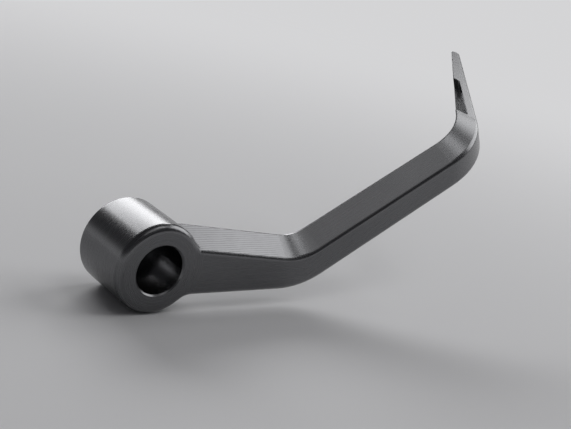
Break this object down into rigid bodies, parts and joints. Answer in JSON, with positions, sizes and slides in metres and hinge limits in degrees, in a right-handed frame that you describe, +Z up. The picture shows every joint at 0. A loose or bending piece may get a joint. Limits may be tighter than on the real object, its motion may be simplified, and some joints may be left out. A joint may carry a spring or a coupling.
{
  "type": "brake lever guard",
  "caption": "One-piece machined lever guard: a round bar-end hub with a screw recess, and a bent, bevelled arm that ends in a tapering blade.",
  "frame": {"origin": "centre of the screw hole on the hub's seat, the flat end face that meets the handlebar's end", "axes": "+Y along the screw hole and the bar, towards the middle of the motorcycle; +X forward, the way the arm runs from the hub; +Z up in the pictured pose"},
  "size_m": [0.1863, 0.0549, 0.0879],
  "materials": {
    "anodised_aluminium": "dark anodised, satin, with fine milling lines"
  },
  "bodies": {
    "root": {"lever_guard": "anodised_aluminium"}
  },
  "joints": []
}
